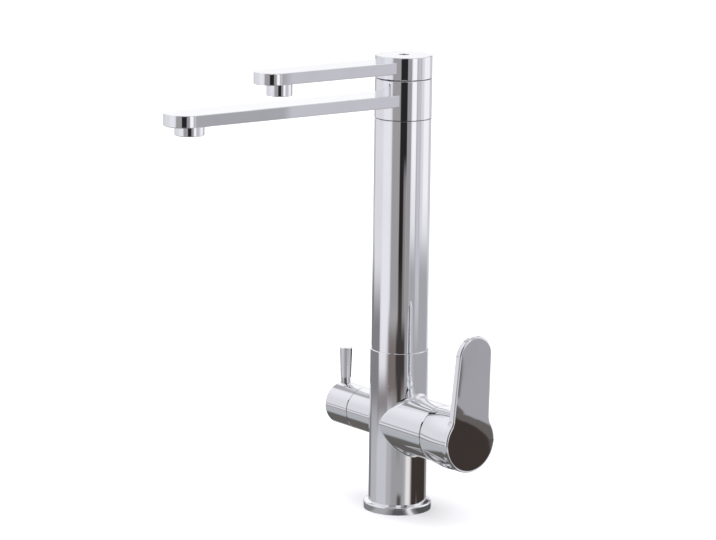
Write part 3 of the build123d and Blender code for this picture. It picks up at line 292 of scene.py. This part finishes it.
lamp_data = bpy.data.lights.new("soft lamp", "SUN")
lamp_data.energy = lamp_strength
lamp_data.angle = lamp_spread
lamp = bpy.data.objects.new("soft lamp", lamp_data)
lamp.rotation_euler = lamp_turn
lamp.visible_glossy = False
scene.collection.objects.link(lamp)
scene.view_settings.view_transform = "Standard"
print("floor reaches", floor_reach, "m")

# %% [markdown]
# ## A material to build on
# Every pattern lies on the object's own coordinates, in metres, so its scales
# are ripples a metre along X, Y and Z.

# %% Helpers for materials


def new_material(name):
    """A new material with an empty tree, and the wire that adds nodes to it."""
    material = bpy.data.materials.new(name)
    material.use_nodes = True
    material.node_tree.nodes.clear()
    return material, Wire(material.node_tree)


def finish_material(tree, base, metallic, roughness, normal=None):
    """Join colour, metal, roughness and small relief in one Principled shader."""
    inputs = {"Base Color": base, "Metallic": metallic, "Roughness": roughness}
    if normal is not None:
        inputs["Normal"] = normal
    shader = tree.node("ShaderNodeBsdfPrincipled", None, inputs)
    tree.node("ShaderNodeOutputMaterial", None, {"Surface": shader})


def place_on(tree, scale):
    """Object coordinates in metres, stretched by three scales, for a pattern."""
    place = tree.node("ShaderNodeTexCoord", output=3)
    return tree.node("ShaderNodeMapping", None, {"Vector": place, "Scale": scale})


def noise(tree, scale, detail=3.0, rough=0.5):
    """Soft noise round 0.5 on the object, with three scales in ripples a metre."""
    inputs = {"Vector": place_on(tree, scale), "Scale": 1.0}
    inputs.update({"Detail": detail, "Roughness": rough})
    return tree.node("ShaderNodeTexNoise", {"noise_dimensions": "3D"}, inputs)


def relief(tree, field, depth):
    """Turn a field from 0 to 1 into a relief of the given depth in metres."""
    inputs = {"Strength": 1.0, "Distance": depth, "Height": field}
    return tree.node("ShaderNodeBump", None, inputs)


# %% [markdown]
# ## Polished chrome
# Chrome plate is a bluish metal mirror over polished nickel. It carries four
# traces: long low waves where the polishing wheel dwelt, which bend a reflected
# edge a little; fine wiping lines; a breath of haze in wide clouds; and faint
# dried spots from handling and rinsing. Each is a noise at its own size. Only
# the waves are relief. The rest changes roughness, because real plate is worn
# in its sharpness long before it is worn in its shape.

# %% Polished chrome
wave_ripples = (55.0, 55.0, 35.0)
wiping_ripples = (900.0, 900.0, 60.0)
breath_ripples = (28.0, 28.0, 20.0)
spot_ripples = (260.0,) * 3
patch_ripples = (70.0,) * 3
wave_depth = 0.000001
clean_tint = (0.905, 0.910, 0.925, 1.0)
breathed_tint = (0.885, 0.888, 0.900, 1.0)

chrome, tree = new_material("polished_chrome")
waves = noise(tree, wave_ripples, 1.0, 0.3)
wiping = noise(tree, wiping_ripples, 4.0, 0.6).rise(0.52, 0.78)
breath = noise(tree, breath_ripples, 3.0, 0.55).rise(0.50, 0.75)
# spots: the cores of a cell pattern, kept only in a few patches
cell_inputs = {"Vector": place_on(tree, spot_ripples), "Scale": 1.0}
cells = tree.node("ShaderNodeTexVoronoi", {"feature": "F1"}, cell_inputs)
patches = noise(tree, patch_ripples, 2.0).rise(0.58, 0.66)
spots = cells.rise(0.16, 0.08) * patches
chrome_rough = 0.008 + 0.012 * wiping + 0.012 * breath + 0.08 * spots
tint = breath.mixed(clean_tint, breathed_tint)
finish_material(tree, tint, 1.0, chrome_rough, relief(tree, waves, wave_depth))

# %% [markdown]
# ## Turned metal inside
# The brass swivel post, the valve spindles and the steel screw come straight
# off a lathe, so their grain runs round the axis as fine rings. A noise that is
# stretched across Z and squeezed along it gives those rings on an upright part.

# %% Brass and steel
ring_ripples = (40.0, 40.0, 2600.0)
stain_ripples = (45.0,) * 3
scuff_ripples = (700.0, 700.0, 90.0)
ring_depth = 0.00001

# slot: clean colour, stained colour, least roughness
metals = {
    "plain_brass": ((0.74, 0.57, 0.30, 1.0), (0.60, 0.43, 0.22, 1.0), 0.24),
    "stainless_steel": ((0.64, 0.64, 0.65, 1.0), (0.52, 0.52, 0.53, 1.0), 0.20),
}
made = {"polished_chrome": chrome}
for name, (clean, stained, least) in metals.items():
    made[name], tree = new_material(name)
    rings = noise(tree, ring_ripples, 4.0, 0.6)
    stain = noise(tree, stain_ripples, 4.0).rise(0.45, 0.75)
    scuffs = noise(tree, scuff_ripples, 3.0).rise(0.60, 0.75)
    rough = least + 0.16 * rings + 0.12 * stain + 0.1 * scuffs
    base = stain.mixed(clean, stained)
    finish_material(tree, base, 1.0, rough, relief(tree, rings, ring_depth))

# %% [markdown]
# ## Rubber, plastic and ceramic
# Seals are moulded black rubber with a dull bloom. The glide washers and the
# cartridge are plain plastic with the fine spark grain of their mould. The
# valve discs are ground alumina, almost a mirror, with the odd darker grain.

# %% Rubber, plastics and ceramic
cloud_ripples = (120.0,) * 3

# slot: colour, colour of its clouds, least roughness, grain a metre, grain's depth
dull_pieces = {
    "black_rubber": (
        (0.018, 0.018, 0.018, 1.0), (0.045, 0.045, 0.043, 1.0), 0.55, 1800.0, 0.00003),
    "dark_plastic": (
        (0.045, 0.046, 0.05, 1.0), (0.065, 0.066, 0.07, 1.0), 0.38, 2400.0, 0.00002),
    "white_plastic": (
        (0.80, 0.80, 0.78, 1.0), (0.74, 0.74, 0.71, 1.0), 0.34, 2400.0, 0.00002),
    "ceramic_disc": (
        (0.88, 0.86, 0.82, 1.0), (0.78, 0.75, 0.70, 1.0), 0.10, 3600.0, 0.000004),
}
for name, (plain, clouded, least, grain_ripples, grain_depth) in dull_pieces.items():
    made[name], tree = new_material(name)
    grain = noise(tree, (grain_ripples,) * 3, 3.0, 0.6)
    cloud = noise(tree, cloud_ripples, 3.0).rise(0.40, 0.70)
    rough = least + 0.14 * grain + 0.10 * cloud
    base = cloud.mixed(plain, clouded)
    finish_material(tree, base, 0.0, rough, relief(tree, grain, grain_depth))

# %% [markdown]
# ## The table's sheet
# The sheet is matt laminate: nearly white, with a very faint cloud in it.

# %% Pale laminate
sheet_ripples = (2.5,) * 3
sheet_low = (0.90, 0.90, 0.90, 1.0)
sheet_high = (0.93, 0.93, 0.93, 1.0)

laminate, tree = new_material("pale_laminate")
cloud = noise(tree, sheet_ripples, 3.0)
pale = cloud.mixed(sheet_low, sheet_high)
finish_material(tree, pale, 0.0, 0.6 + 0.1 * cloud)
floor_mesh.materials.append(laminate)

# %% [markdown]
# ## The shaded ring round the foot
# Close to the foot the table lies in the tap's own shade, and the low side of
# the flange mirrors that ring and little else. The ring is painted shade: a flat
# washer just above the sheet that glows with the colour of that shade. Only the
# chrome sees it. It is darkest against the flange and fades to the brightness of
# the table. Round the foot it changes too, with painted lamp light where the
# lamps reach into some of the shade and darker painted shade where the body
# keeps them off the rest.

# %% Shaded ring
ring_inner = 0.0262
ring_outer = 0.048
ring_lift = 0.0001
fade_from = 0.036
fade_to = 0.047
turns, steps = 96, 6

around = np.linspace(0.0, 2.0 * np.pi, turns, endpoint=False)
outward = np.linspace(ring_inner, ring_outer, steps)
ring_x = np.cos(around)[:, None] * outward
ring_y = np.sin(around)[:, None] * outward
ring_z = np.full_like(ring_x, ring_lift)
ring_points = np.stack([ring_x, ring_y, ring_z], axis=2).reshape(-1, 3)
first = np.arange(turns)[:, None] * steps + np.arange(steps - 1)
second = (np.arange(turns)[:, None] + 1) % turns * steps + np.arange(steps - 1)
ring_faces = np.stack([first, first + 1, second + 1, second], axis=2).reshape(-1, 4)
ring_mesh = bpy.data.meshes.new("shaded ring")
ring_mesh.from_pydata(ring_points.tolist(), [], ring_faces.tolist())
ring = bpy.data.objects.new("shaded ring", ring_mesh)
scene.collection.objects.link(ring)
ring.visible_camera = False
ring.visible_diffuse = False
ring.visible_shadow = False

# %% What the ring shows
# painted shade by the foot, and the painted light of the open table it fades to
deep_shade = (128, 127, 130)
open_table = (178, 178, 182)
# a stretch of painted shade and light on the ring: bearing from, to, soft edge and colour
stretches = [
    (-92, -58, 8, (164, 164, 166)),
    (-48, -24, 4, (88, 88, 90)),
    (-18, -7, 4, (224, 224, 226)),
    (2, 70, 6, (82, 82, 84)),
]

shade, tree = new_material("shaded_table")
here = tree.node("ShaderNodeTexCoord", output=3)
here_x, here_y, _ = here.parts()
round_foot = tree.sum_of("ARCTAN2", here_y, here_x) * math.degrees(1.0)
shade_colour = light(*deep_shade)
for low, high, blur, colour in stretches:
    from_middle = round_foot - (low + high) / 2.0
    on_stretch = from_middle.within((high - low) / 2.0, blur)
    shade_colour = on_stretch.mixed(shade_colour, light(*colour))
from_axis = tree.node("ShaderNodeVectorMath", {"operation": "LENGTH"}, {0: here}, output=1)
shade_colour = from_axis.rise(fade_from, fade_to).mixed(shade_colour, light(*open_table))
# the ring gives out its painted shade and painted lamp light as a glow
lit = tree.node("ShaderNodeEmission", None, {"Color": shade_colour, "Strength": 1.0})
tree.node("ShaderNodeOutputMaterial", None, {"Surface": lit})
ring_mesh.materials.append(shade)
print("shaded ring:", len(ring_faces), "faces, out to", ring_outer, "m")

# %% Give every CAD piece its finish
for row in frame["record"]["subparts"]:
    slots = nodes[row["node"]].data.materials
    finish = made[row["material_slot"]]
    if not len(slots):
        slots.append(finish)
    for place in range(len(slots)):
        slots[place] = finish
triangles = sum(len(piece.data.polygons) for piece in nodes.values())
print("materials:", sorted(made), "triangles:", triangles)
